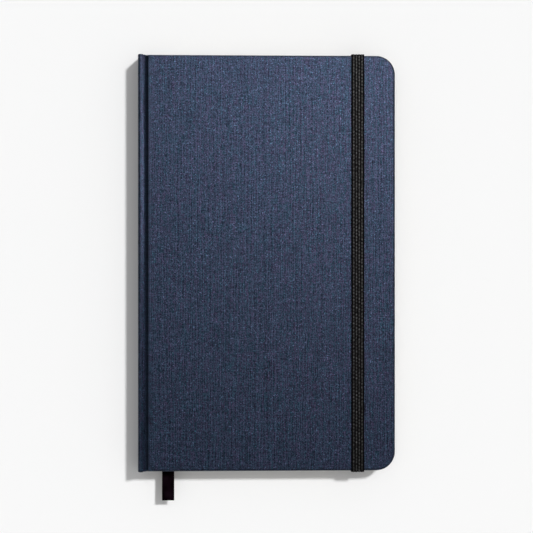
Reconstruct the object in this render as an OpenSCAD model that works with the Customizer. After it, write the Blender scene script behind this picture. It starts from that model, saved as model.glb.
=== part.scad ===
// Pilot logbook: a cloth-bound case binding with a sewn text block, a ribbon marker and an elastic closure.
// It lies on its back cover. +Z runs up through its thickness, +Y to its head and +X to its fore-edge.
// The origin is the centre of the back cover's resting face. Sizes are in millimetres.

/* [Covers] */
// Width of a cover, from the spine's outer face to the fore-edge
cover_w = 130; // [120:1:150]
// Height of a cover, from head to tail
cover_h = 210; // [190:1:230]
// Radius of a cover's two fore-edge corners
corner_r = 9.5; // [6:0.5:14]
// Thickness of the greyboard in the covers
board_t = 2.3; // [2.2:0.1:2.6]
// Thickness of the book cloth
cloth_t = 0.4; // [0.3:0.05:0.45]
// Width of the cloth turned over inside the covers, up to the endpaper
turn_in = 3; // [2:0.5:6]

/* [Spine] */
// Thickness of the greyboard in the spine
spine_board_t = 2; // [1.8:0.1:2]
// Width of the groove between the spine and a cover
groove_w = 2.4; // [2:0.1:3]
// Depth of the groove below a cover's outer face
groove_d = 2; // [1.5:0.1:2.2]
// How far the spine cloth's folded ends stand past the covers
cap_over = 0.4; // [0:0.1:0.8]
// Outer radius of the spine's long edges
spine_r = 1.4; // [1:0.1:1.4]

/* [Text block] */
// Thickness of one leaf
leaf_t = 0.11; // [0.08:0.01:0.14]
// Leaves in one folded section
section_leaves = 8; // [4:4:12]
// Whole sections on each side of the centre section
side_sections = 5; // [5:1:5]
// How far the covers stand past the block at head and tail
square_y = 3; // [2:0.5:5]
// How far the covers stand past the block at the fore-edge
square_x = 3.5; // [2:0.5:6]
// Radius of the block's fore-edge corners
page_r = 8; // [4:0.5:12]

/* [Elastic] */
// Width of the elastic band
elastic_w = 6.5; // [5:0.5:8]
// Thickness of the elastic band
elastic_t = 0.75; // [0.5:0.05:0.8]
// Distance from the fore-edge to the middle of the band
elastic_in = 19; // [14:1:30]
// Distance from the head and tail edges to the slits in the back cover
slit_in = 12; // [10:1:20]
// Length of the glued end inside the back cover
glued_end = 14; // [8:1:20]

/* [Ribbon] */
// Width of the ribbon marker
ribbon_w = 6.2; // [4:0.2:8]
// Thickness of the ribbon marker
ribbon_t = 0.25; // [0.15:0.05:0.3]
// How far the ribbon hangs out past the tail of the covers
ribbon_out = 15.6; // [8:0.2:30]
// Distance from the spine's outer face to the middle of the hanging ribbon
ribbon_in = 15.1; // [12:0.1:30]

/* [Hidden] */
$fn = 64;

navy = "#3c4a66";
cream = "#efe9da";
endpaper = "#e4dfd0";
greyboard = "#9a958c";
black = "#1b1b1d";

paste_t = 0.15;      // endpaper glued inside a cover
fly_t = 0.12;        // free endpaper
fly_gap = 0.03;      // between a pasted and a free endpaper
block_gap = 0.05;    // between a free endpaper and the first section
section_gap = 0.02;  // between neighbouring sections
middle_gap = 0.42;   // at the centre fold, where the ribbon and the thread lie
touch = 0.02;        // clearance of one piece laid on another
eps = 1;             // how far a cutting solid runs past what it cuts

cover_t = cloth_t + board_t + paste_t;
section_t = leaf_t * section_leaves;
section_pitch = section_t + section_gap;
first_z = cover_t + fly_gap + fly_t + block_gap;
centre_z = first_z + side_sections * section_pitch;
mid_z = centre_z + section_t / 2 + middle_gap / 2;
book_t = 2 * mid_z;

// The spine turns on the back cover about a line along y through x = spine_axis_x, z = spine_r, and the
// front cover turns on the spine about its twin at z = book_t - spine_r. Each turns by 90 degrees.
// The leaves open about the line x = block_x - 0.5, z = mid_z. The ribbon's free end bends about the line
// along x through y = ribbon_hinge_y, half way up the ribbon. The elastic ends up behind the back cover.
spine_x = -cover_w / 2;                      // outer face of the spine
spine_axis_x = spine_x + spine_r;
fore_x = cover_w / 2;                        // fore-edge of the covers
ridge_w = spine_board_t + 2 * cloth_t;       // spine board with cloth on both sides
groove_x = spine_x + ridge_w;                // spine side of the groove
cover_x = groove_x + groove_w;               // spine-side edge of a cover
block_x = groove_x + 1.1;                    // spine folds of the text block
page_x = fore_x - square_x;                  // fore-edge of the text block
page_h = cover_h - 2 * square_y;
joint_z = groove_d + cloth_t;                // inner face of the cloth in the groove

elastic_x = fore_x - elastic_in;
slit_y = cover_h / 2 - slit_in;
slot_w = elastic_w + 0.4;                    // channel and slit, a little wider than the band
ribbon_z = mid_z - middle_gap / 2 + 0.05;
ribbon_hinge_y = -cover_h / 2 - 0.8;
ribbon_gap = 0.2;                            // on each side of the line where the ribbon bends

// A plate with square corners at its spine side and round ones at its fore-edge.
module plate(x0, x1, height, r, thickness) {
    linear_extrude(thickness) {
        translate([x0, -height / 2]) square([x1 - x0 - r, height]);
        translate([x0, -height / 2 + r]) square([x1 - x0, height - 2 * r]);
        for (side = [-1, 1]) translate([x1 - r, side * (height / 2 - r)]) circle(r);
    }
}

// Turns a piece of the back half into its twin in the front half.
module to_front() {
    translate([0, 0, book_t]) mirror([0, 0, 1]) children();
}

// What is given, at both the head and the tail.
module head_and_tail() {
    children();
    mirror([0, 1, 0]) children();
}

// A box of the elastic's width, or another, centred on the band.
module band_box(y0, y1, z0, z1, width = elastic_w) {
    translate([elastic_x - width / 2, y0, z0]) cube([width, y1 - y0, z1 - z0]);
}

module board() {
    translate([0, 0, cloth_t])
        plate(cover_x + cloth_t, fore_x - cloth_t, cover_h - 2 * cloth_t, corner_r - cloth_t, board_t);
}

// The cloth over a board, with its turned-in border.
module cloth() {
    border = cover_h - 2 * turn_in;
    difference() {
        plate(cover_x, fore_x, cover_h, corner_r, cover_t);
        board();
        translate([0, 0, cloth_t + board_t])
            plate(cover_x + cloth_t, fore_x - turn_in, border, corner_r - turn_in, paste_t + eps);
        translate([cover_x - eps, -border / 2, joint_z])
            cube([cloth_t + 2 * eps, border, cover_t]);
    }
}

// The room in the back cover for one end of the elastic, lined with cloth of the given thickness.
module elastic_room(lining) {
    end_y = cover_h / 2 + eps;
    band_box(slit_y - 0.8 - lining, end_y, -eps, elastic_t + 2 * touch + lining, slot_w + 2 * lining);
    band_box(slit_y - 0.8, slit_y + 0.05, -eps, cover_t, slot_w);
    band_box(slit_y - glued_end - 0.1, slit_y + 0.05,
        cloth_t + board_t - elastic_t - touch, cloth_t + board_t, slot_w);
}

module back_board() {
    color(greyboard) difference() {
        board();
        head_and_tail() elastic_room(cloth_t);
    }
}

// The back cloth, pressed into the two channels that the elastic lies in.
module back_cloth() {
    channel_top = elastic_t + 2 * touch;
    color(navy) difference() {
        union() {
            cloth();
            head_and_tail()
                band_box(slit_y - 0.8 - cloth_t, cover_h / 2, 0, channel_top + cloth_t, slot_w + 2 * cloth_t);
        }
        head_and_tail() {
            band_box(slit_y - 0.8, cover_h / 2 + eps, -eps, channel_top, slot_w);
            band_box(slit_y - 0.8, slit_y + 0.05, -eps, cover_t, slot_w);
        }
    }
}

module pastedown() {
    translate([0, 0, cloth_t + board_t])
        plate(cover_x + cloth_t, fore_x - turn_in, cover_h - 2 * turn_in, corner_r - turn_in, paste_t);
}

module flyleaf() {
    translate([0, 0, cover_t + fly_gap]) plate(block_x, page_x, page_h, page_r, fly_t);
}

// The spine's cross-section, outside the cloth: rounded on its two outer edges.
module spine_outline() {
    translate([spine_axis_x, 0]) square([ridge_w - spine_r, book_t]);
    translate([spine_x, spine_r]) square([ridge_w, book_t - 2 * spine_r]);
    for (z = [spine_r, book_t - spine_r]) translate([spine_axis_x, z]) circle(spine_r);
}

// Extrudes a cross-section drawn in x and z along y, centred.
module along_y(length) {
    rotate([90, 0, 0]) linear_extrude(length, center = true) children();
}

// The spine board, a little short of the cloth's rounded edges.
module spine_board() {
    ease = cloth_t + 0.3;
    color(greyboard) along_y(cover_h - 2 * cloth_t)
        translate([spine_x + cloth_t, ease]) square([spine_board_t, book_t - 2 * ease]);
}

module spine_cloth() {
    ease = cloth_t + 0.3;
    inner_h = cover_h - 2 * cloth_t;
    color(navy) difference() {
        along_y(cover_h + 2 * cap_over) spine_outline();
        along_y(inner_h) translate([spine_x + cloth_t, ease])
            square([spine_board_t, book_t - 2 * ease]);
        along_y(inner_h) translate([groove_x - cloth_t, joint_z])
            square([cloth_t + eps, book_t - 2 * joint_z]);
    }
}

// The cloth along the bottom of a groove.
module joint_cloth() {
    along_y(cover_h) translate([groove_x + touch, groove_d]) square([groove_w - 2 * touch, cloth_t]);
}

// A folded section of leaves, its fold rounded, standing on the given level.
module signature(z) {
    r = section_t / 2;
    color(cream) {
        translate([0, 0, z]) plate(block_x + r, page_x, page_h, page_r, section_t);
        translate([block_x + r, 0, z + r]) rotate([90, 0, 0]) cylinder(h = page_h, r = r, center = true);
    }
}

// Half of the centre section, up to the fold where the book opens.
module centre_half() {
    translate([0, 0, centre_z]) plate(block_x, page_x, page_h, page_r, section_t / 2);
}

// Three long stitches in the centre fold, each going back through it at both ends.
module sewing_thread() {
    thread_r = 0.15;
    stitch = page_h / 7;
    thread_x = block_x + 0.5;
    color("#f7f3e6") for (k = [-1, 0, 1]) translate([thread_x, 2 * k * stitch, mid_z]) {
        rotate([90, 0, 0]) cylinder(h = stitch, r = thread_r, center = true, $fn = 24);
        for (end = [-1, 1]) translate([0, end * (stitch / 2 - thread_r), 0])
            rotate([0, -90, 0]) cylinder(h = thread_x - block_x, r = thread_r, $fn = 24);
    }
}

lining_t = 0.3;
lining_h = page_h - 12;

// The gauze glued over the sections' folds.
module spine_lining() {
    color("#d8d2c0") translate([block_x - touch - lining_t, -lining_h / 2, first_z])
        cube([lining_t, lining_h, book_t - 2 * first_z]);
}

// The round decorative band at one end of the folds, with the tab that it is glued by.
module end_band() {
    band_r = 0.65;
    height = book_t - 2 * first_z;
    centre_y = page_h / 2 + band_r + 0.05;
    translate([block_x + 0.5, centre_y, first_z]) cylinder(h = height, r = band_r, $fn = 32);
    translate([block_x - touch - lining_t, lining_h / 2 + touch, first_z])
        cube([lining_t, centre_y - lining_h / 2, height]);
    translate([block_x - touch - lining_t, page_h / 2 + 0.1, first_z]) cube([0.7, band_r, height]);
}

// The ribbon's middle line: it starts near the folds at the head and swings out to its hanging place.
head_x = block_x + 1.4 + ribbon_w / 2;
tail_x = spine_x + ribbon_in;
run_top = page_h / 2 - 1;
run_end = ribbon_hinge_y + ribbon_gap;
ribbon_steps = 24;
function ease_in_out(t) = t * t * (3 - 2 * t);
function run_y(i) = run_top + (run_end - run_top) * i / ribbon_steps;
function run_x(i) = head_x + (tail_x - head_x) * ease_in_out(min(1, 1.25 * i / ribbon_steps));

module ribbon_run() {
    left = [for (i = [0 : ribbon_steps]) [run_x(i) - ribbon_w / 2, run_y(i)]];
    right = [for (i = [ribbon_steps : -1 : 0]) [run_x(i) + ribbon_w / 2, run_y(i)]];
    color(black) translate([0, 0, ribbon_z]) linear_extrude(ribbon_t) polygon(concat(left, right));
}

module ribbon_tail() {
    start_y = ribbon_hinge_y - ribbon_gap;
    end_y = -cover_h / 2 - ribbon_out;
    color(black) translate([tail_x - ribbon_w / 2, end_y, ribbon_z])
        cube([ribbon_w, start_y - end_y, ribbon_t]);
}

elastic_top = book_t + touch;
return_y = cover_h / 2 + touch;

module elastic_front_run() {
    color(black) band_box(-return_y, return_y, elastic_top, elastic_top + elastic_t);
}

// The stretch that goes round the head edge, from the back cover's face to the front's.
module elastic_return() {
    color(black) band_box(return_y, return_y + elastic_t, touch, elastic_top + elastic_t);
}

// The end that lies in the back cover's channel, goes through its slit and is glued inside.
module elastic_anchor() {
    inside_z = cloth_t + board_t;
    color(black) {
        band_box(slit_y - 0.75, return_y, touch, touch + elastic_t);
        band_box(slit_y - 0.75, slit_y, touch, inside_z);
        band_box(slit_y - glued_end, slit_y, inside_z - elastic_t, inside_z);
    }
}

back_board();
back_cloth();
color(endpaper) pastedown();  // back_pastedown
color(endpaper) flyleaf();  // back_flyleaf
color(greyboard) to_front() board();  // front_board
color(navy) to_front() cloth();  // front_cloth
color(endpaper) to_front() pastedown();  // front_pastedown
color(endpaper) to_front() flyleaf();  // front_flyleaf
spine_board();
spine_cloth();
color(navy) joint_cloth();  // back_joint_cloth
color(navy) to_front() joint_cloth();  // front_joint_cloth
to_front() signature(first_z);  // signature_01
to_front() signature(first_z + section_pitch);  // signature_02
to_front() signature(first_z + 2 * section_pitch);  // signature_03
to_front() signature(first_z + 3 * section_pitch);  // signature_04
to_front() signature(first_z + 4 * section_pitch);  // signature_05
color(cream) to_front() centre_half();  // centre_section_front
color(cream) centre_half();  // centre_section_rear
signature(first_z + 4 * section_pitch);  // signature_07
signature(first_z + 3 * section_pitch);  // signature_08
signature(first_z + 2 * section_pitch);  // signature_09
signature(first_z + section_pitch);  // signature_10
signature(first_z);  // signature_11
sewing_thread();
spine_lining();
color(navy) end_band();  // headband
color(navy) mirror([0, 1, 0]) end_band();  // tailband
ribbon_run();
ribbon_tail();
elastic_front_run();
elastic_return();  // elastic_head_return
mirror([0, 1, 0]) elastic_return();  // elastic_tail_return
elastic_anchor();  // elastic_head_anchor
mirror([0, 1, 0]) elastic_anchor();  // elastic_tail_anchor
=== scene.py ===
"""A cloth-bound logbook with an elastic band and a ribbon marker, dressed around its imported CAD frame."""

import math
import random

import bmesh
import bpy
import numpy as np
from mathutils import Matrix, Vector


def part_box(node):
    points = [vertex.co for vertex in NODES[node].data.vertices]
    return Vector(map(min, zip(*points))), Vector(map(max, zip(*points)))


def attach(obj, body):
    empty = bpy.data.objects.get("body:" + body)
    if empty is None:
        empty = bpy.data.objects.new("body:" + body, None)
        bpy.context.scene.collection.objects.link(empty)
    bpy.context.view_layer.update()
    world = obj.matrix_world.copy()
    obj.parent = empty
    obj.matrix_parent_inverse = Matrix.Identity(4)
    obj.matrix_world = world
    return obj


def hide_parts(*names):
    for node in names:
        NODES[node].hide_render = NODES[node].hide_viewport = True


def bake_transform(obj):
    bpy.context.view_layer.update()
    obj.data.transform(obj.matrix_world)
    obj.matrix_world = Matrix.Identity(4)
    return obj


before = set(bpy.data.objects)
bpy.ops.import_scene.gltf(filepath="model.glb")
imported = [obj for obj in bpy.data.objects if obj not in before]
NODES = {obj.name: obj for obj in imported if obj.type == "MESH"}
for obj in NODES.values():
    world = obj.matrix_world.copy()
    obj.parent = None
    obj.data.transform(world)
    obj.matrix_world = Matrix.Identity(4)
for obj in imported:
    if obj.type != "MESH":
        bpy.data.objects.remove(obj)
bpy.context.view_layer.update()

MM = 0.001
rng = random.Random(7)


def span(node):
    """Lowest and highest corner of a CAD node, in millimetres."""
    low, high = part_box(node)
    return np.array(low) / MM, np.array(high) / MM


def point(x, y, z):
    """A place given in millimetres, as the frame's metres."""
    return (x * MM, y * MM, z * MM)


# Sizes in millimetres, from the frame.
front_low, front_high = span("front_cloth")
back_low, back_high = span("back_cloth")
spine_low, spine_high = span("spine_cloth")
block_low, block_high = span("signature_11")
paste_low, paste_high = span("back_pastedown")
BOOK_T = front_high[2]
COVER_T = back_high[2]
PASTE_T = paste_high[2] - paste_low[2]
TURN_IN = front_high[0] - paste_high[0]  # the cloth that shows round a pasted endpaper
GROOVE_TOP = span("front_joint_cloth")[1][2]
RIDGE_X = spine_high[0]  # the spine's side of the groove
RIDGE_R = (RIDGE_X - spine_low[0]) / 2
MID_Z = BOOK_T / 2

# Sizes in millimetres that the boxes of the CAD's nodes don't give.
FORE_R = 9.5  # round corners of the covers
SPINE_CORNER_R = 0.6  # and their nearly square ones beside the groove
PAGE_R = 8.0  # round corners of the leaves
EDGE_R = 1.2  # how softly the cloth goes over a board's outer edge
INNER_R = 0.8  # and over its inner edge
LAP = 0.3  # how far the cloth stands off a board in the groove
PAPER_SHARE = 0.9  # of the pitch of the leaves. The rest is air
SECTION_LEAVES = 8
LINING_BEND = 0.6  # half of the strip of lining that bends when the book opens
BAND_BEND = 1.0  # the same for the head and tail bands
SLIT_IN = 12.45  # from the back cover's head or tail edge to the elastic's slit
RIB_PITCH = 1.4  # from one cord of the elastic to the next
PICK_PITCH = 1.7  # from one bump along a cord to the next
THREAD_TWIST = 1.1  # one turn of the sewing thread
BAND_TURN = 0.42  # one turn of the yarn round a head or tail band

CREASE = 40  # degrees. An edge that turns more is shaded sharp


# ---------------------------------------------------------------- meshes


def make_object(name, points, faces, uvs, material, wear=None, sharp=CREASE):
    """A mesh object from points and UVs in millimetres. Its face normals point outwards."""
    points, faces, uvs = np.asarray(points, float), list(faces), np.asarray(uvs, float)
    mesh = bpy.data.meshes.new(name)
    mesh.from_pydata((points * MM).tolist(), [], faces)
    if wear is not None:
        worn = mesh.attributes.new("wear", "FLOAT", "POINT")
        worn.data.foreach_set("value", np.asarray(wear, np.float32))
    layer = mesh.uv_layers.new(name="UVMap")
    corner = np.zeros(len(mesh.loops), np.int32)
    mesh.loops.foreach_get("vertex_index", corner)
    loop_uvs = uvs[corner]
    for face in mesh.polygons:
        if len(face.vertices) > 4:  # a flat end: its UVs are the two axes that it lies along
            along = [k for k in range(3) if k != int(np.argmax(np.abs(face.normal)))]
            loops = list(face.loop_indices)
            loop_uvs[loops] = points[corner[loops]][:, along]
    layer.data.foreach_set("uv", loop_uvs.astype(np.float32).ravel())
    shell = bmesh.new()
    shell.from_mesh(mesh)
    bmesh.ops.recalc_face_normals(shell, faces=shell.faces)
    shell.to_mesh(mesh)
    shell.free()
    mesh.shade_smooth()
    mesh.set_sharp_from_angle(angle=math.radians(sharp))
    piece = bpy.data.objects.new(name, mesh)
    bpy.context.scene.collection.objects.link(piece)
    mesh.materials.append(material)
    return piece


def loft(rings, uvs):
    """Points, faces and UVs of a closed skin through equal rings of points."""
    rings = np.asarray(rings, float)
    count, size = rings.shape[:2]
    faces = []
    for i in range(count - 1):
        for j in range(size):
            a, b = i * size + j, i * size + (j + 1) % size
            faces.append((a, b, b + size, a + size))
    faces.append(tuple(range(size - 1, -1, -1)))
    faces.append(tuple(range((count - 1) * size, count * size)))
    return rings.reshape(-1, 3), faces, np.asarray(uvs, float).reshape(-1, 2)


def join_parts(parts):
    """Several lofts as one set of points, faces and UVs."""
    points, faces, uvs, start = [], [], [], 0
    for part_points, part_faces, part_uvs in parts:
        points.append(part_points)
        uvs.append(part_uvs)
        faces += [tuple(v + start for v in face) for face in part_faces]
        start += len(part_points)
    return np.concatenate(points), faces, np.concatenate(uvs)


def apply_modifiers(piece):
    """Replaces a piece's mesh with what its modifiers make of it, joined up and closed."""
    merge = 0.002 * MM
    graph = bpy.context.evaluated_depsgraph_get()
    mesh = bpy.data.meshes.new_from_object(piece.evaluated_get(graph))
    piece.modifiers.clear()
    shell = bmesh.new()
    shell.from_mesh(mesh)
    bmesh.ops.remove_doubles(shell, verts=shell.verts, dist=merge)
    bmesh.ops.holes_fill(shell, edges=[edge for edge in shell.edges if edge.is_boundary])
    shell.to_mesh(mesh)
    shell.free()
    mesh.shade_smooth()
    mesh.set_sharp_from_angle(angle=math.radians(CREASE))
    old, piece.data = piece.data, mesh
    bpy.data.meshes.remove(old)


def bezier(controls, count):
    """Points along a cubic curve."""
    p0, p1, p2, p3 = (np.asarray(c, float) for c in controls)
    return [p0 * (1 - t) ** 3 + p1 * 3 * t * (1 - t) ** 2 + p2 * 3 * t * t * (1 - t) + p3 * t ** 3
            for t in np.linspace(0, 1, count)]


def lengths(places):
    """The distance along a path from its start to each of its points."""
    return np.concatenate([[0], np.cumsum(np.linalg.norm(np.diff(places, axis=0), axis=1))])


def rounded_path(corners, radius, step):
    """Stations about step apart along straight runs with round corners, and the tangent at each."""
    corners = np.asarray(corners, float)
    route = [corners[0]]
    for before, here, after in zip(corners, corners[1:], corners[2:]):
        into, out = before - here, after - here
        into, out = into / np.linalg.norm(into), out / np.linalg.norm(out)
        half = math.acos(np.clip(into @ out, -1, 1)) / 2
        middle = into + out
        middle /= np.linalg.norm(middle)
        side = out - into
        side /= np.linalg.norm(side)
        centre = here + middle * radius / math.sin(half)
        for t in np.linspace(-1, 1, 13):
            turn = t * (math.pi / 2 - half)
            route.append(centre - middle * radius * math.cos(turn) + side * radius * math.sin(turn))
    route.append(corners[-1])
    route = np.array(route)
    length = lengths(route)
    stations = np.linspace(0, length[-1], max(2, round(length[-1] / step) + 1))
    places = np.stack([np.interp(stations, length, route[:, k]) for k in range(route.shape[1])], axis=1)
    tangents = np.gradient(places, axis=0)
    return stations, places, tangents / np.linalg.norm(tangents, axis=1, keepdims=True)


# ---------------------------------------------------------------- materials


class Shader:
    """A material whose node tree is written as sums."""

    def __init__(self, name, roughness, specular=0.5, tint=(1, 1, 1), sheen=0.0, sheen_tint=(1, 1, 1)):
        self.material = bpy.data.materials.new(name)
        self.material.use_nodes = True
        self.tree = self.material.node_tree
        self.bsdf = self.tree.nodes["Principled BSDF"]
        self.bsdf.inputs["Roughness"].default_value = roughness
        self.bsdf.inputs["Specular IOR Level"].default_value = specular
        self.bsdf.inputs["Specular Tint"].default_value = (*tint, 1)
        self.bsdf.inputs["Sheen Weight"].default_value = sheen
        self.bsdf.inputs["Sheen Tint"].default_value = (*sheen_tint, 1)

    def add(self, kind, **settings):
        """A new node."""
        node = self.tree.nodes.new(kind)
        for key, value in settings.items():
            setattr(node, key, value)
        return node

    def put(self, socket, value):
        """Links a socket, or sets it to a plain value."""
        if isinstance(value, bpy.types.NodeSocket):
            self.tree.links.new(value, socket)
        else:
            socket.default_value = value

    def math(self, operation, a, b=0.0, c=0.0):
        """One step of arithmetic."""
        node = self.add("ShaderNodeMath", operation=operation)
        for socket, value in zip(node.inputs, (a, b, c)):
            self.put(socket, value)
        return node.outputs[0]

    def uv(self):
        """The two UV coordinates, in millimetres."""
        split = self.add("ShaderNodeSeparateXYZ")
        self.put(split.inputs[0], self.add("ShaderNodeUVMap").outputs[0])
        return split.outputs[0], split.outputs[1]

    def vector(self, x, y, z=0.0):
        """Three numbers as one vector."""
        node = self.add("ShaderNodeCombineXYZ")
        for socket, value in zip(node.inputs, (x, y, z)):
            self.put(socket, value)
        return node.outputs[0]

    def place(self, x, x_scale, y, y_scale, z=0.0):
        """A place in a texture, from two numbers that are each scaled."""
        return self.vector(self.math("MULTIPLY", x, x_scale), self.math("MULTIPLY", y, y_scale), z)

    def noise(self, where, scale=1.0, detail=2.0):
        """Smooth noise, from 0 to 1."""
        node = self.add("ShaderNodeTexNoise")
        self.put(node.inputs["Vector"], where)
        node.inputs["Scale"].default_value = scale
        node.inputs["Detail"].default_value = detail
        return node.outputs[0]

    def random(self, where):
        """A fixed random number from 0 to 1 for each whole place."""
        node = self.add("ShaderNodeTexWhiteNoise", noise_dimensions="3D")
        self.put(node.inputs["Vector"], where)
        return node.outputs[0]

    def vary(self, value, cause, middle, weight):
        """A value that is raised where its cause is above a middle and lowered where it is below."""
        return self.math("MULTIPLY_ADD", self.math("SUBTRACT", cause, middle), weight, value)

    def blend(self, factor, first, second):
        """Between two numbers."""
        return self.math("MULTIPLY_ADD", factor, self.math("SUBTRACT", second, first), first)

    def mix(self, factor, first, second):
        """Between two colours."""
        node = self.add("ShaderNodeMix", data_type="RGBA")
        self.put(node.inputs[0], factor)
        colours = [s for s in node.inputs if s.type == "RGBA"]
        for socket, colour in zip(colours, (first, second)):
            self.put(socket, colour if isinstance(colour, bpy.types.NodeSocket) else (*colour, 1))
        return next(s for s in node.outputs if s.type == "RGBA")

    def shade(self, colour, amount):
        """A colour times a number."""
        node = self.add("ShaderNodeVectorMath", operation="SCALE")
        self.put(node.inputs[0], colour)
        self.put(node.inputs["Scale"], amount)
        return node.outputs[0]

    def strand(self, across, along, thread, first):
        """A plain weave's threads one way: their height, and which visible piece of the thread this is."""
        odd = self.math("FLOORED_MODULO", self.math("ADD", thread, first), 2.0)
        arch = self.math("SINE", self.math("MULTIPLY", self.math("FRACT", across), math.pi))
        wave = self.math("SINE", self.math("MULTIPLY", self.math("ADD", along, odd), math.pi))
        height = self.math("MULTIPLY", arch, self.math("MULTIPLY_ADD", wave, 0.45, 0.55))
        pieces = self.math("MULTIPLY", self.math("ADD", self.math("ADD", along, 0.5), odd), 0.5)
        return height, self.math("FLOOR", pieces)

    def finish(self, colour, height=None, depth=0.0):
        """Puts the colour on the surface, and bumps up to a depth in millimetres."""
        self.put(self.bsdf.inputs["Base Color"], colour)
        if height is not None:
            bump = self.add("ShaderNodeBump")
            bump.inputs["Distance"].default_value = depth * MM
            self.put(bump.inputs["Height"], height)
            self.put(self.bsdf.inputs["Normal"], bump.outputs[0])
        return self.material


def plain_weave(s, u, v, pitch):
    """A plain weave: thread numbers each way, whether the warp is over, each visible piece's own random
    number, and the height."""
    # The threads sway by a fraction of a millimetre, as in real cloth.
    sway = s.noise(s.place(u, 0.05, v, 0.05), detail=1.0)
    across = s.math("DIVIDE", s.math("MULTIPLY_ADD", sway, 1.6, u), pitch)
    along = s.math("DIVIDE", s.math("MULTIPLY_ADD", sway, -1.2, v), pitch)
    warp, weft = s.math("FLOOR", across), s.math("FLOOR", along)
    warp_top, warp_piece = s.strand(across, along, warp, 1.0)
    weft_top, weft_piece = s.strand(along, across, weft, 0.0)
    over = s.math("GREATER_THAN", warp_top, weft_top)
    knot = s.blend(over, s.random(s.vector(weft_piece, weft)), s.random(s.vector(warp, warp_piece, 5.0)))
    return warp, weft, over, knot, s.math("MAXIMUM", warp_top, weft_top)


def slub(s, thread, v):
    """How thick a warp thread is along its length."""
    return s.noise(s.place(thread, 7.3, v, 0.13))


def dye(s, thread, v):
    """A warp thread's own shade, which changes every few centimetres."""
    length = s.math("FLOOR", s.math("MULTIPLY_ADD", thread, 0.37, s.math("MULTIPLY", v, 0.025)))
    return s.random(s.vector(thread, length, 2.0))


def thread_light(s, u, v, warp, weft, over, knot):
    """How light the thread on top is. A warp thread is set against its neighbour, so that single threads
    show but no broad stripes."""
    beside = s.math("ADD", warp, 1.0)
    weft_slub = s.noise(s.place(u, 0.20, weft, 5.1, 4.0))
    light = s.vary(0.90, slub(s, warp, v), slub(s, beside, v), 0.60)
    light = s.vary(light, dye(s, warp, v), dye(s, beside, v), 0.35)
    light = s.vary(light, weft_slub, 0.5, 1.0)
    light = s.vary(light, s.math("MULTIPLY", knot, knot), 0.33, 1.0)
    light = s.vary(light, over, 0.5, 0.5)
    # A few crossings are painted much lighter, as painted glints, and their specular rises with them.
    light = s.math("MULTIPLY_ADD", s.math("GREATER_THAN", knot, 0.985), 1.0, light)
    # Here and there a warp thread is thin for a centimetre or two and leaves a dark line.
    thin = s.random(s.vector(warp, s.math("FLOOR", s.math("MULTIPLY", v, 0.06)), 8.0))
    return s.math("MULTIPLY_ADD", s.math("GREATER_THAN", thin, 0.90), -0.10, light)


def book_cloth():
    """Plain-woven book cloth: slubby navy threads, some bluer and some redder, paler where it rubs, with
    painted shade in the gaps between threads and painted glints at a few crossings.
    """
    s = Shader("book_cloth", roughness=0.45, sheen=0.08, sheen_tint=(0.45, 0.60, 0.90))
    blue, red = (0.0020, 0.0115, 0.0190), (0.0082, 0.0076, 0.0190)
    blue_gloss, red_gloss = (0.30, 0.68, 1.0), (0.66, 0.51, 1.0)
    rubbed = (0.10, 0.12, 0.16)
    u, v = s.uv()
    warp, weft, over, knot, weave = plain_weave(s, u, v, pitch=0.40)
    light = thread_light(s, u, v, warp, weft, over, knot)
    # The gaps between threads are painted dark, a painted shade.
    light = s.math("MULTIPLY", light, s.math("MULTIPLY_ADD", weave, 0.9, 0.39))
    light = s.math("MAXIMUM", light, 0.1)
    # Redness is partly a thread's own, for a few millimetres, and partly each crossing's.
    redness = s.random(s.vector(warp, s.math("FLOOR", s.math("MULTIPLY", v, 0.2)), 3.0))
    redness = s.blend(0.6, redness, s.random(s.vector(warp, weft, 9.0)))
    colour = s.shade(s.mix(redness, blue, red), s.math("POWER", light, 1.4))
    # Edges are rubbed in patches.
    worn = s.add("ShaderNodeAttribute", attribute_name="wear").outputs["Fac"]
    patch = s.noise(s.place(u, 0.22, v, 0.22), detail=4.0)
    rub = s.math("MULTIPLY", worn, s.math("MULTIPLY", s.math("SUBTRACT", patch, 0.42), 0.5))
    colour = s.mix(s.math("MAXIMUM", rub, 0.0), colour, rubbed)
    s.put(s.bsdf.inputs["Specular IOR Level"], s.math("MULTIPLY", light, 0.375))
    s.put(s.bsdf.inputs["Specular Tint"], s.mix(redness, blue_gloss, red_gloss))
    return s.finish(colour, s.math("MULTIPLY_ADD", slub(s, warp, v), 0.6, weave), depth=0.022)


def paper(name, colour, ruled):
    """Uncoated paper with faint fibres. Ruled paper has faint rows and columns inside its margins."""
    s = Shader(name, roughness=0.75, specular=0.25)
    u, v = s.uv()
    fibre = s.noise(s.place(u, 1.7, v, 1.7), detail=5.0)
    cloud = s.noise(s.place(u, 0.03, v, 0.03))
    tone = s.math("MULTIPLY_ADD", fibre, 0.06, s.math("MULTIPLY_ADD", cloud, 0.05, 0.945))
    shaded = s.shade(colour, tone)
    if ruled:
        ink = (0.16, 0.24, 0.36)
        shaded = s.mix(ruling(s, u, v), shaded, ink)
    return s.finish(shaded, fibre, depth=0.015)


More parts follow.
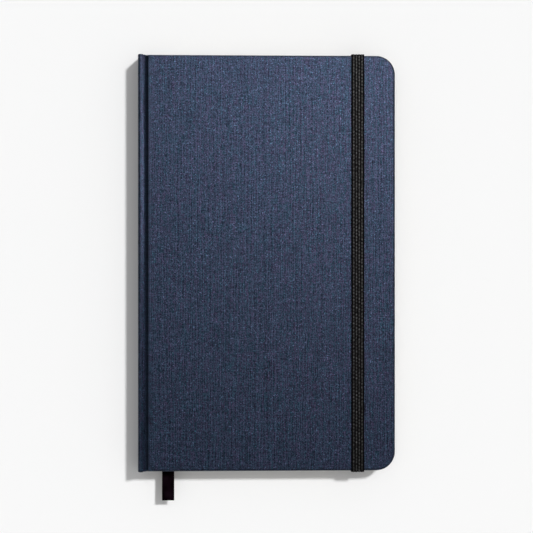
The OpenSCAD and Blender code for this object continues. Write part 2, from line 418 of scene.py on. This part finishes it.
def ruling(s, u, v):
    """0.7 on a page's printed lines, 0 elsewhere: rows and columns, and a plain heading row over them."""
    row, column, columns, line = 7.0, 17.0, 6, 0.22
    gutter, fore, foot, head = 9.0, 7.0, 12.0, 22.0
    left = block_low[0] + gutter
    right = min(block_high[0] - fore, left + columns * column + line)
    bottom, top = block_low[1] + foot, block_high[1] - head

    def lines(where, start, gap):
        return s.math("LESS_THAN", s.math("FLOORED_MODULO", s.math("SUBTRACT", where, start), gap), line)

    def within(where, low, high):
        return s.math("MULTIPLY", s.math("GREATER_THAN", where, low), s.math("LESS_THAN", where, high))

    across = within(u, left, right)
    body = s.math("MAXIMUM", lines(v, top, row), lines(u, left, column))
    body = s.math("MULTIPLY", s.math("MULTIPLY", body, across), within(v, bottom, top + line))
    heading = s.math("MULTIPLY", lines(v, top + row, 2 * row), across)
    heading = s.math("MULTIPLY", heading, within(v, top, top + 1.5 * row))
    return s.math("MULTIPLY", s.math("MAXIMUM", body, heading), 0.7)


def elastic_weave():
    """Black ribbed elastic. The cords' crests and the bumps along them are painted grey, a painted
    highlight, and the valleys between and beside the cords stay near black, a painted shade.
    """
    s = Shader("elastic_weave", roughness=0.5, specular=0.10)
    valley, top = (0.0010, 0.0010, 0.0010), (0.0125, 0.0125, 0.0125)
    u, v = s.uv()
    cord = s.math("ABSOLUTE", s.math("SINE", s.math("MULTIPLY", u, math.pi / RIB_PITCH)))
    cord = s.math("MULTIPLY", cord, s.math("LESS_THAN", s.math("ABSOLUTE", u), 2 * RIB_PITCH))
    shift = s.math("MULTIPLY", s.math("FLOOR", s.math("DIVIDE", u, RIB_PITCH)), 0.7 * math.pi)
    beat = s.math("COSINE", s.math("MULTIPLY_ADD", v, 2 * math.pi / PICK_PITCH, shift))
    strand = s.noise(s.place(u, 3.5, v, 0.9), detail=3.0)
    fleck = s.noise(s.place(u, 0.9, v, 0.7))
    # Grey is painted on the cords' crests and on the bumps along them as painted highlight; the valleys
    # between and beside the cords keep the black, as painted shade.
    float_highlight = s.math("MAXIMUM", s.math("MULTIPLY_ADD", beat, 0.33, 0.67), 0.0)
    light = s.math("MULTIPLY", s.math("POWER", cord, 2.0), float_highlight)
    light = s.math("MULTIPLY", light, s.math("MULTIPLY_ADD", strand, 2.2, -0.35))
    light = s.math("MULTIPLY", light, s.math("MULTIPLY_ADD", fleck, 3.6, -0.9))
    light = s.math("MAXIMUM", light, 0.0)
    s.put(s.bsdf.inputs["Specular IOR Level"], s.math("MULTIPLY_ADD", light, 0.33, 0.01))
    return s.finish(s.mix(light, valley, top), s.math("MULTIPLY_ADD", beat, 0.25, strand), depth=0.04)


def satin():
    """Near-black satin ribbon with fine lengthwise threads."""
    s = Shader("ribbon_satin", roughness=0.42, tint=(1.0, 0.45, 0.80))
    dark, plum = (0.0004, 0.0001, 0.0003), (0.0030, 0.0012, 0.0024)
    thread_pitch, pick_pitch = 0.28, 0.4
    u, v = s.uv()
    thread = s.math("SINE", s.math("MULTIPLY", u, 2 * math.pi / thread_pitch))
    pick = s.math("SINE", s.math("MULTIPLY", v, 2 * math.pi / pick_pitch))
    streak = s.noise(s.place(u, 5.0, v, 0.12))
    # The tape's slight waves catch the light in soft plum-coloured patches.
    where = s.vector(s.math("MULTIPLY", u, 0.25), s.math("MULTIPLY_ADD", v, 0.16, -0.65), 2.0)
    patch = s.math("MAXIMUM", s.math("SUBTRACT", s.noise(where, detail=1.0), 0.42), 0.0)
    gloss = s.math("MULTIPLY", patch, s.math("MULTIPLY_ADD", thread, 0.25, 0.75))
    s.put(s.bsdf.inputs["Specular IOR Level"], s.math("MULTIPLY_ADD", gloss, 0.30, 0.005))
    return s.finish(s.mix(streak, dark, plum), s.math("MULTIPLY_ADD", pick, 0.4, thread), depth=0.012)


def greyboard():
    """Pressed grey board with fibres. It uses object coordinates, because it dresses a CAD node."""
    s = Shader("greyboard_fibre", roughness=0.9, specular=0.2)
    where = s.add("ShaderNodeTexCoord").outputs["Object"]
    fibre = s.noise(where, scale=900.0, detail=4.0)
    return s.finish(s.mix(fibre, (0.20, 0.185, 0.16), (0.36, 0.34, 0.30)), fibre, depth=0.1)


def yarn(name, dark, light, pitch):
    """Twisted yarn in two shades, in turns of the given pitch along v."""
    s = Shader(name, roughness=0.6, specular=0.35, sheen=0.1)
    u, v = s.uv()
    slant = s.math("ADD", v, s.math("MULTIPLY", u, 0.35))
    turn = s.math("SINE", s.math("MULTIPLY", slant, 2 * math.pi / pitch))
    fuzz = s.noise(s.place(u, 6.0, v, 6.0), detail=3.0)
    colour = s.mix(s.math("MULTIPLY_ADD", turn, 0.5, 0.5), dark, light)
    colour = s.shade(colour, s.math("MULTIPLY_ADD", fuzz, 0.4, 0.8))
    return s.finish(colour, s.math("ADD", turn, fuzz), depth=0.05)


def gauze():
    """Open-woven lining gauze, stiff with glue."""
    s = Shader("lining_gauze", roughness=0.8, specular=0.2)
    glue, thread = (0.42, 0.38, 0.30), (0.72, 0.69, 0.60)
    grid = s.math("MAXIMUM", *(s.math("SINE", s.math("MULTIPLY", way, 7.0)) for way in s.uv()))
    colour = s.mix(s.math("MULTIPLY_ADD", grid, 0.5, 0.5), glue, thread)
    return s.finish(colour, grid, depth=0.08)


def floor_paint():
    """Plain pale paper sweep."""
    s = Shader("floor_paper", roughness=0.95, specular=0.0)
    where = s.add("ShaderNodeTexCoord").outputs["Object"]
    tone = s.math("MULTIPLY_ADD", s.noise(where, scale=30.0), 0.004, 0.848)
    return s.finish(s.shade((1.0, 1.0, 1.0), tone))


# ---------------------------------------------------------------- covers


def outline(low, high, spine_r, fore_r, inset=0.0, spine_inset=None):
    """A closed outline in x and y with round corners, and the outward normal at each point."""
    spine_inset = inset if spine_inset is None else spine_inset
    places, normals = [], []
    corners = (
        (high[0] - inset, high[1] - inset, fore_r, 0),
        (low[0] + spine_inset, high[1] - inset, spine_r, 90),
        (low[0] + spine_inset, low[1] + inset, spine_r, 180),
        (high[0] - inset, low[1] + inset, fore_r, 270),
    )
    for x, y, full_r, start in corners:
        r = max(full_r - inset, 0.03)
        outward = math.radians(start + 45)
        centre = np.array([x - r * np.sign(math.cos(outward)), y - r * np.sign(math.sin(outward))])
        steps = 20 if full_r == fore_r else 5
        for a in np.radians(np.linspace(start, start + 90, steps)):
            normals.append((math.cos(a), math.sin(a)))
            places.append(centre + r * np.array(normals[-1]))
    return np.array(places), np.array(normals)


def plate_skin(name, low, high, outer_z, inward, material):
    """The cloth over one board: its outer face, soft edges and turned-in border, closed under the endpaper.

    inward is 1 where the inside of the cover faces up, and -1 where it faces down."""
    low = low - np.array([LAP, 0, 0])
    flat, side = outline(low, high, SPINE_CORNER_R, FORE_R)
    bends = np.radians(np.linspace(0, 90, 9))
    # For each ring: how far in from the edge, how deep, how far round the edge, and its wear.
    run = [(EDGE_R + 1.0, 0.0, -EDGE_R - 1.0, 0.0), (EDGE_R + 0.25, 0.0, -EDGE_R - 0.25, 0.3)]
    run += [(EDGE_R * (1 - math.sin(a)), EDGE_R * (1 - math.cos(a)), EDGE_R * (a - 1), 1.0) for a in bends]
    side_start = EDGE_R * (math.pi / 2 - 1)
    side_end = side_start + COVER_T - EDGE_R - INNER_R
    first_inner = len(run)
    for a in bends:
        depth = COVER_T - INNER_R * (1 - math.sin(a))
        run.append((INNER_R * (1 - math.cos(a)), depth, side_end + INNER_R * a, 0.8))
    border = side_end + INNER_R * math.pi / 2
    run += [(TURN_IN, COVER_T, border + TURN_IN - INNER_R, 0.0)]
    run += [(TURN_IN, COVER_T - PASTE_T * 0.8, border + TURN_IN - INNER_R, 0.0)]  # sunk in the endpaper
    rounding = np.abs(side).min(axis=1) * 1.4  # 0 along the sides and 1 in the middle of a round corner
    rings, uvs, wear = [], [], []
    for k, (inset, depth, length, rub) in enumerate(run):
        inside = k > first_inner
        spine_inset = min(inset, paste_low[0] - low[0]) if inside else inset * 0.5
        ring, _ = outline(low, high, SPINE_CORNER_R, FORE_R, inset, spine_inset)
        rings.append(np.column_stack([ring, np.full(len(ring), outer_z + inward * depth)]))
        uvs.append(flat + side * length)
        wear += list(rub * (0.35 + 0.65 * rounding))
    points, faces, uv = loft(rings, uvs)
    return make_object(name, points, faces, uv, material, wear)


def cut_channels(piece, material):
    """Presses the two shallow channels for the elastic into the back cover's cloth."""
    inner, outer = SLIT_IN + 0.4, -3.0  # a cutter's ends, measured in from the cover's edge
    top, below = 0.79, -2.0  # its heights
    room = 0.2  # on each side of the elastic
    low, high = span("elastic_head_anchor")
    x0, x1 = low[0] - room, high[0] + room
    corners = [(x0, below), (x1, below), (x1, top), (x0, top)]
    for end in (1, -1):
        ends = [end * (back_high[1] - inset) for inset in (inner, outer)]
        rings = [[(x, y, z) for x, z in corners] for y in ends]
        uvs = [[(x, y) for x, _ in corners] for y in ends]
        cutter = make_object("channel_cutter", *loft(rings, uvs), material)
        cut = piece.modifiers.new("channel", "BOOLEAN")
        cut.operation, cut.object, cut.solver = "DIFFERENCE", cutter, "EXACT"
        apply_modifiers(piece)
        bpy.data.objects.remove(cutter)


def groove_cloth(name, front, material):
    """The cloth that falls from the spine's round edge into a groove and climbs to the board.

    Its spine side lies on that round edge, which is centred on the hinge, so it stays joined as the cover
    turns. The rest of its section is drawn from the cover's spine edge and the groove's floor."""
    cover_x, floor_z = front_low[0], GROOVE_TOP - 0.3
    centre = np.array([RIDGE_X - RIDGE_R, BOOK_T - RIDGE_R])
    leave = math.radians(86)
    start = centre + (RIDGE_R - 0.02) * np.array([math.cos(leave), math.sin(leave)])
    bottom = (cover_x - 0.90, floor_z)
    controls = [start, start + np.array([1.7, -0.12]), (cover_x - 1.25, floor_z + 2.1), bottom]
    outer = [centre + 0.6 * (start - centre)] + bezier(controls, 14)
    outer += [(cover_x - 0.62, floor_z - 0.14), (cover_x - 0.36, floor_z + 0.3)]
    outer += [(cover_x - 0.2, floor_z + 0.9)]
    inner = [(cover_x + 0.05, floor_z - 0.45), (cover_x - 1.1, floor_z - 0.45)]
    inner += [centre + np.array([0.9, 0.1])]
    section = np.array(outer + inner)
    if not front:
        section[:, 1] = BOOK_T - section[:, 1]
    length = lengths(section)
    middle = section.mean(axis=0)
    rings, uvs = [], []
    for y, shrink in ((-1, 0.15), (-1 + 0.002, 0.0), (1 - 0.002, 0.0), (1, 0.15)):
        ring = section + (middle - section) * shrink
        at = y * front_high[1]
        rings.append(np.column_stack([ring[:, 0], np.full(len(ring), at), ring[:, 1]]))
        uvs.append(np.column_stack([start[0] + length, np.full(len(ring), at)]))
    points, faces, uv = loft(rings, uvs)
    return make_object(name, points, faces, uv, material, np.zeros(len(points)), sharp=60)


def spine_skin(material):
    """The cloth round the spine board, with round long edges and soft folded ends."""
    soft = 0.6
    axis_x, half = spine_low[0] + RIDGE_R, spine_high[1]
    section, normals = [], []
    for centre_z, start in ((BOOK_T - RIDGE_R, 0), (RIDGE_R, 180)):
        for a in np.radians(np.linspace(0, 180, 25) + start):
            normals.append((math.cos(a), math.sin(a)))
            section.append((axis_x + RIDGE_R * math.cos(a), centre_z + RIDGE_R * math.sin(a)))
    section, normals = np.array(section), np.array(normals)
    length = lengths(section)
    fold = [(soft * (1 - math.cos(a)), soft * (1 - math.sin(a))) for a in np.radians(np.linspace(0, 90, 6))]
    stations = [(-half + back, inset) for back, inset in fold]
    stations += [(half - back, inset) for back, inset in reversed(fold)]
    rings, uvs, wear = [], [], []
    for y, inset in stations:
        ring = section - normals * inset
        rings.append(np.column_stack([ring[:, 0], np.full(len(ring), y), ring[:, 1]]))
        uvs.append(np.column_stack([spine_low[0] - length, np.full(len(ring), y)]))
        wear += list(np.abs(normals[:, 1]))
    points, faces, uv = loft(rings, uvs)
    return make_object("spine_wrap", points, faces, uv, material, wear)


# ---------------------------------------------------------------- text block


def paper_sheet(path, leaf_t, high):
    """A sheet of paper along a path of (x, z, normal) points. Its fore-edge corners are round."""
    trim_x, trim_y = rng.uniform(-0.05, 0.03), rng.uniform(-0.04, 0.04)  # no two are cut quite alike
    rings, uvs = [], []
    for x, z, (nx, nz) in path:
        past = max(0.0, x - (high[0] - PAGE_R)) / PAGE_R
        half = high[1] + trim_y - PAGE_R * (1 - math.sqrt(max(0.0, 1 - past * past)))
        place = x + trim_x * (x > 0)
        ring = []
        for y, side in ((-half, 1), (half, 1), (half, -1), (-half, -1)):
            ring.append((place + nx * leaf_t / 2 * side, y, z + nz * leaf_t / 2 * side))
        rings.append(ring)
        uvs.append([(x, -half), (x, half), (x, half), (x, -half)])
    return loft(rings, uvs)


def fore_edge(high):
    """The x places of a leaf's round corners, from the straight part to the fore-edge."""
    return [high[0] - PAGE_R + PAGE_R * math.sin(a) for a in np.radians(np.linspace(0, 88, 10))]


def folded_section(node):
    """A section of folded sheets, one in another, from the CAD section's box."""
    low, high = span(node)
    depth = high[2] - low[2]
    pitch = depth / SECTION_LEAVES
    fold_x, mid = low[0] + depth / 2, (low[2] + high[2]) / 2
    sheets = []
    for k in range(SECTION_LEAVES // 2):
        r = depth / 2 - pitch * (k + 0.5)
        path = [(x, mid - r, (0, -1)) for x in reversed(fore_edge(high))]
        for a in np.radians(np.linspace(270, 90, 9)):
            path.append((fold_x + r * math.cos(a), mid + r * math.sin(a), (math.cos(a), math.sin(a))))
        path += [(x, mid + r, (0, 1)) for x in fore_edge(high)]
        sheets.append(paper_sheet(path, pitch * PAPER_SHARE, high))
    return make_object(node + "_leaves", *join_parts(sheets), RULED_PAPER, sharp=30)


def flat_leaves(node, leaves, material):
    """Single leaves, one on another, from a CAD node's box."""
    low, high = span(node)
    pitch = (high[2] - low[2]) / leaves
    sheets = []
    for k in range(leaves):
        z = low[2] + pitch * (k + 0.5)
        path = [(x, z, (0, 1)) for x in [low[0], low[0] + 2.0] + fore_edge(high)]
        sheets.append(paper_sheet(path, pitch * PAPER_SHARE, high))
    return make_object(node + "_leaves", *join_parts(sheets), material, sharp=30)


def pastedown(node, material):
    """An endpaper glued inside a cover."""
    low, high = span(node)
    spine_r, fore_r = 0.05, FORE_R - TURN_IN
    rings, uvs = [], []
    for inset, share in ((0.6, 0.0), (0.05, 0.0), (0.0, 0.3), (0.0, 0.7), (0.05, 1.0), (0.6, 1.0)):
        ring, _ = outline(low, high, spine_r, fore_r, inset)
        z = low[2] + (high[2] - low[2]) * share
        rings.append(np.column_stack([ring, np.full(len(ring), z)]))
        uvs.append(ring)
    return make_object(node + "_paper", *loft(rings, uvs), material)


def stitches(material):
    """Three long stitches of two-ply thread in the centre fold, each diving into the fold at its ends."""
    low, high = span("sewing_thread")
    centre_z, hidden_x, lying_x = (low[2] + high[2]) / 2, low[0] + 0.05, high[0] - 0.15
    stitch, gap = (high[1] - low[1]) / 5, 0.2
    ply_r, ply_bulge = 0.095, 0.045
    parts = []
    for k in (-1, 0, 1):
        y0, y1 = (2 * k - 1) * stitch / 2 + gap, (2 * k + 1) * stitch / 2 - gap
        corners = [(hidden_x, y0), (lying_x, y0), (lying_x, y1), (hidden_x, y1)]
        rings, uvs = [], []
        for s, (x, y), (tx, ty) in zip(*rounded_path(corners, 0.3, 0.15)):
            twist = 2 * math.pi * s / THREAD_TWIST
            ring = []
            for a in np.linspace(0, 2 * math.pi, 12, endpoint=False):
                r = ply_r + ply_bulge * abs(math.cos(a - twist))
                out, up = r * math.cos(a), r * math.sin(a)
                ring.append((x + ty * out, y - tx * out, centre_z + up))
            rings.append(ring)
            uvs.append([(a, s) for a in np.linspace(0, 0.8, 12)])
        parts.append(loft(rings, uvs))
    return make_object("stitches", *join_parts(parts), material, sharp=70)


def end_band(node, material):
    """The round band wrapped in yarn at one end of the folds."""
    low, high = span(node)
    end = 1 if high[1] > 0 else -1
    core_r, yarn_r = 0.55, 0.05
    x, y = high[0] - 0.65, end * (block_high[1] + 0.7)
    rings, uvs = [], []
    for z in np.arange(low[2] + 0.02, high[2], 0.08):
        ring, uv = [], []
        for k, a in enumerate(np.linspace(0, 2 * math.pi, 16, endpoint=False)):
            r = core_r + yarn_r * math.sin(2 * math.pi * (z + 0.06 * math.cos(a)) / BAND_TURN)
            ring.append((x + r * math.cos(a), y + r * math.sin(a), z))
            uv.append((k * 0.23, z))
        rings.append(ring)
        uvs.append(uv)
    return make_object(node + "_wrap", *loft(rings, uvs), material, sharp=70)


def lining(material):
    """The gauze over the folds. One strip of it, at the middle, spans the gap when the block opens."""
    low, high = span("spine_lining")
    x0, x1 = low[0] + 0.02, high[0]
    below = np.linspace(low[2], MID_Z - LINING_BEND, 20)
    above = np.linspace(MID_Z + LINING_BEND, high[2], 20)
    rings, uvs = [], []
    for z in [*below, *above]:
        ring = [(x0, low[1], z), (x0, high[1], z), (x1, high[1], z), (x1, low[1], z)]
        rings.append(ring)
        uvs.append([(y, z) for _, y, _ in ring])
    return make_object("lining_gauze", *loft(rings, uvs), material)


# ---------------------------------------------------------------- elastic and ribbon


def elastic_band(material):
    """The whole band: from one slit round the tail, up the front, round the head and into the other."""
    run_low, run_high = span("elastic_front_run")
    half_t = (run_high[2] - run_low[2]) / 2
    centre_x, half_w = (run_low[0] + run_high[0]) / 2, (run_high[0] - run_low[0]) / 2
    top_z = run_high[2] - half_t
    bottom_z = span("elastic_head_anchor")[0][2] + half_t
    end_y = span("elastic_head_return")[1][1] - half_t
    slit_y, slit_z = back_high[1] - SLIT_IN, 1.9
    valley, rise, pick = half_t * 0.3, half_t * 0.64, half_t * 0.05
    back, hem = half_t * 0.95, 0.15
    corners = [(-slit_y, slit_z), (-slit_y, bottom_z), (-end_y, bottom_z), (-end_y, top_z),
               (end_y, top_z), (end_y, bottom_z), (slit_y, bottom_z), (slit_y, slit_z)]
    rings, uvs = [], []
    for s, (y, z), (ty, tz) in zip(*rounded_path(corners, 0.5, 0.24)):
        out_y, out_z = -tz, ty  # away from the book all the way round
        ring, uv = [], []
        for u in np.linspace(-half_w, half_w, 33):
            cord = math.sqrt(abs(math.sin(math.pi * u / RIB_PITCH)))
            bump = math.cos(2 * math.pi * s / PICK_PITCH + 0.7 * math.pi * math.floor(u / RIB_PITCH))
            edge = min(1.0, (half_w - abs(u)) / hem + 0.35)
            h = (valley + cord * (rise + pick * bump)) * edge
            ring.append((centre_x + u, y + out_y * h, z + out_z * h))
            uv.append((u, s))
        for u in (half_w - 0.1, 0.0, -half_w + 0.1):
            ring.append((centre_x + u, y - out_y * back, z - out_z * back))
            uv.append((u, s))
        rings.append(ring)
        uvs.append(uv)
    return make_object("elastic_band", *loft(rings, uvs), material, sharp=75)


def ribbon(material):
    """The ribbon marker, from the folds at the head to its cut end past the tail, and its middle line."""
    run_low, run_high = span("ribbon_run")
    tail_low, tail_high = span("ribbon_tail")
    half_w = (tail_high[0] - tail_low[0]) / 2
    tail_x, head_x = run_high[0] - half_w, run_low[0] + half_w
    z, half_t = (run_low[2] + run_high[2]) / 2, (run_high[2] - run_low[2]) / 2
    hem = 0.35  # the selvedge's distance from the ribbon's edge
    rings, uvs, middle = [], [], []
    for y in np.linspace(run_high[1], tail_low[1], 170):
        # The hidden run slants across to its place in the first four fifths of its way.
        t = min(1.0, 1.25 * (run_high[1] - y) / (run_high[1] - run_low[1]))
        x = head_x + (tail_x - head_x) * t * t * (3 - 2 * t)
        # The hanging end waves a little and curls up at its long edges.
        free = max(0.0, (run_low[1] - y) / (run_low[1] - tail_low[1]))
        lift = 0.35 * math.sin(2.6 * free) * free - 0.25 * free
        ring, uv = [], []
        for side in (1, -1):
            for u in np.linspace(-half_w, half_w, 13) * side:
                curl = 0.22 * free * (u / half_w) ** 2
                selvedge = 1.0 if abs(abs(u) - half_w + hem) < 0.3 else 0.8
                ring.append((x + u, y, z + lift + curl + side * half_t * selvedge))
                uv.append((u, y))
        rings.append(ring)
        uvs.append(uv)
        middle.append(point(x, y, z + lift))
    return make_object("ribbon_tape", *loft(rings, uvs), material, sharp=60), middle


# ---------------------------------------------------------------- the object

CLOTH = book_cloth()
RULED_PAPER = paper("page_paper_ruled", (0.83, 0.79, 0.69), ruled=True)
END_PAPER = paper("end_paper", (0.78, 0.75, 0.67), ruled=False)
BOARD = greyboard()
LINEN = yarn("linen_thread", (0.55, 0.50, 0.40), (0.85, 0.81, 0.70), THREAD_TWIST)
BAND_YARN = yarn("band_yarn", (0.020, 0.034, 0.070), (0.60, 0.57, 0.48), 2 * BAND_TURN)

for node in ("back_board", "front_board", "spine_board"):
    NODES[node].data.materials.clear()
    NODES[node].data.materials.append(BOARD)


def add(piece, body, slot, *nodes):
    """Puts a rigid piece on its body, in place of its CAD nodes."""
    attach(piece, body)
    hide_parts(*nodes)
    return piece


def bend(piece, body, other, slot, start, end, *nodes):
    """Bakes a piece's place into its mesh, in place of its CAD nodes. Nothing here puts it on a body or
    makes it bend.
    """
    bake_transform(piece)
    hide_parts(*nodes)
    return piece


front_skin = add(plate_skin("front_cover_cloth", front_low, front_high, BOOK_T, -1, CLOTH),
                 "front_cover", "cover_cloth", "front_cloth")
back_skin = plate_skin("back_cover_cloth", back_low, back_high, 0.0, 1, CLOTH)
cut_channels(back_skin, CLOTH)
add(back_skin, "back_cover", "cover_cloth", "back_cloth")
wrap = add(spine_skin(CLOTH), "spine", "cover_cloth", "spine_cloth")
add(groove_cloth("front_groove_cloth", True, CLOTH), "front_cover", "cover_cloth", "front_joint_cloth")
add(groove_cloth("back_groove_cloth", False, CLOTH), "back_cover", "cover_cloth", "back_joint_cloth")

add(pastedown("front_pastedown", END_PAPER), "front_cover", "endpaper", "front_pastedown")
add(pastedown("back_pastedown", END_PAPER), "back_cover", "endpaper", "back_pastedown")
add(flat_leaves("front_flyleaf", 1, END_PAPER), "front_leaves", "endpaper", "front_flyleaf")
add(flat_leaves("back_flyleaf", 1, END_PAPER), "back_cover", "endpaper", "back_flyleaf")

for body, numbers in (("front_leaves", (1, 2, 3, 4)), ("last_front_section", (5,)),
                      ("first_rear_section", (7,)), ("back_cover", (8, 9, 10, 11))):
    for number in numbers:
        node = f"signature_{number:02d}"
        add(folded_section(node), body, "page_paper", node)
for side in ("front", "rear"):
    node = f"centre_section_{side}"
    add(flat_leaves(node, SECTION_LEAVES // 2, RULED_PAPER), f"centre_{side}", "page_paper", node)
add(stitches(LINEN), "centre_rear", "thread", "sewing_thread")

fold_x = block_low[0]
for node in ("headband", "tailband"):
    bend(end_band(node, BAND_YARN), "back_cover", "front_leaves", "band_cloth",
         point(fold_x, 0, MID_Z - BAND_BEND), point(fold_x, 0, MID_Z + BAND_BEND), node)
back_lining = bend(lining(gauze()), "back_cover", "front_leaves", "gauze",
                   point(fold_x, 0, MID_Z - LINING_BEND), point(fold_x, 0, MID_Z + LINING_BEND),
                   "spine_lining")

elastic_x = span("elastic_front_run")[0][0]
bend(elastic_band(elastic_weave()), "back_cover", "elastic", "elastic",
     point(elastic_x, 0, 0.8), point(elastic_x, 0, BOOK_T),
     "elastic_front_run", "elastic_head_return", "elastic_tail_return", "elastic_head_anchor",
     "elastic_tail_anchor")

marker, marker_line = ribbon(satin())
marker_low, marker_high = span("ribbon_tail")
bend(marker, "centre_rear", "ribbon_tail", "ribbon",
     point(0, marker_high[1] + 0.8, 0), point(0, marker_high[1] - 1.2, 0), "ribbon_run", "ribbon_tail")


# ---------------------------------------------------------------- stage


def studio_light(name, kind, energy, place=(0, 0, 0), toward=None):
    """A lamp that shines along a direction, or from its place at the book."""
    lamp = bpy.data.objects.new(name, bpy.data.lights.new(name, kind))
    lamp.data.energy = energy
    lamp.location = place
    beam = Vector(toward) if toward else -Vector(place)
    lamp.rotation_euler = beam.to_track_quat("-Z", "Y").to_euler()
    bpy.context.scene.collection.objects.link(lamp)
    return lamp


def floor():
    """A floor six metres across, a hair below the book."""
    half, z = 3000.0, -0.02
    corners = [(-half, -half, z), (half, -half, z), (half, half, z), (-half, half, z)]
    make_object("floor", corners, [(0, 1, 2, 3)], [(0, 0)] * 4, floor_paint())


def studio_world():
    """Even white light from all round."""
    world = bpy.data.worlds.new("studio")
    world.use_nodes = True
    world.node_tree.nodes["Background"].inputs["Color"].default_value = (1, 1, 1, 1)
    world.node_tree.nodes["Background"].inputs["Strength"].default_value = 0.36
    bpy.context.scene.world = world


def studio_lamps():
    """The key makes the crisp shadow, and the fill from overhead keeps it pale right up to the book.

    The softbox and the low rim light, both past the head, only give the cloth and its edges their sheen."""
    key = studio_light("key", "SUN", 2.30, toward=(-7.5, -6.7, -17.0))
    fill = studio_light("fill", "SUN", 0.40, toward=(0, 0, -1))
    for sun, degrees in ((key, 5.5), (fill, 70)):
        sun.data.angle = math.radians(degrees)
        sun.visible_glossy = False
    softbox = studio_light("softbox", "AREA", 12.6, place=(0.20, 0.32, 0.90))
    rim = studio_light("rim", "AREA", 6.0, place=(0.15, 0.95, 0.42))
    for panel, size in ((softbox, 0.35), (rim, 0.40)):
        panel.data.size = size
        panel.visible_diffuse = False


def camera():
    """The photograph's view: almost straight down, from a little to the spine's side."""
    aim = Vector((-0.0002, -0.0017, BOOK_T * MM))
    distance, lean = 0.90, math.radians(2.4)
    field = 0.2691  # width of the view at the front cover
    eye = bpy.data.objects.new("camera", bpy.data.cameras.new("camera"))
    eye.location = aim + distance * Vector((-math.sin(lean), 0, math.cos(lean)))
    eye.rotation_euler = (0, -lean, 0)
    eye.data.sensor_width = 36.0
    eye.data.lens = eye.data.sensor_width * distance / field
    bpy.context.scene.collection.objects.link(eye)
    bpy.context.scene.camera = eye


bpy.context.scene.view_settings.view_transform = "Standard"
floor()
studio_world()
studio_lamps()
camera()
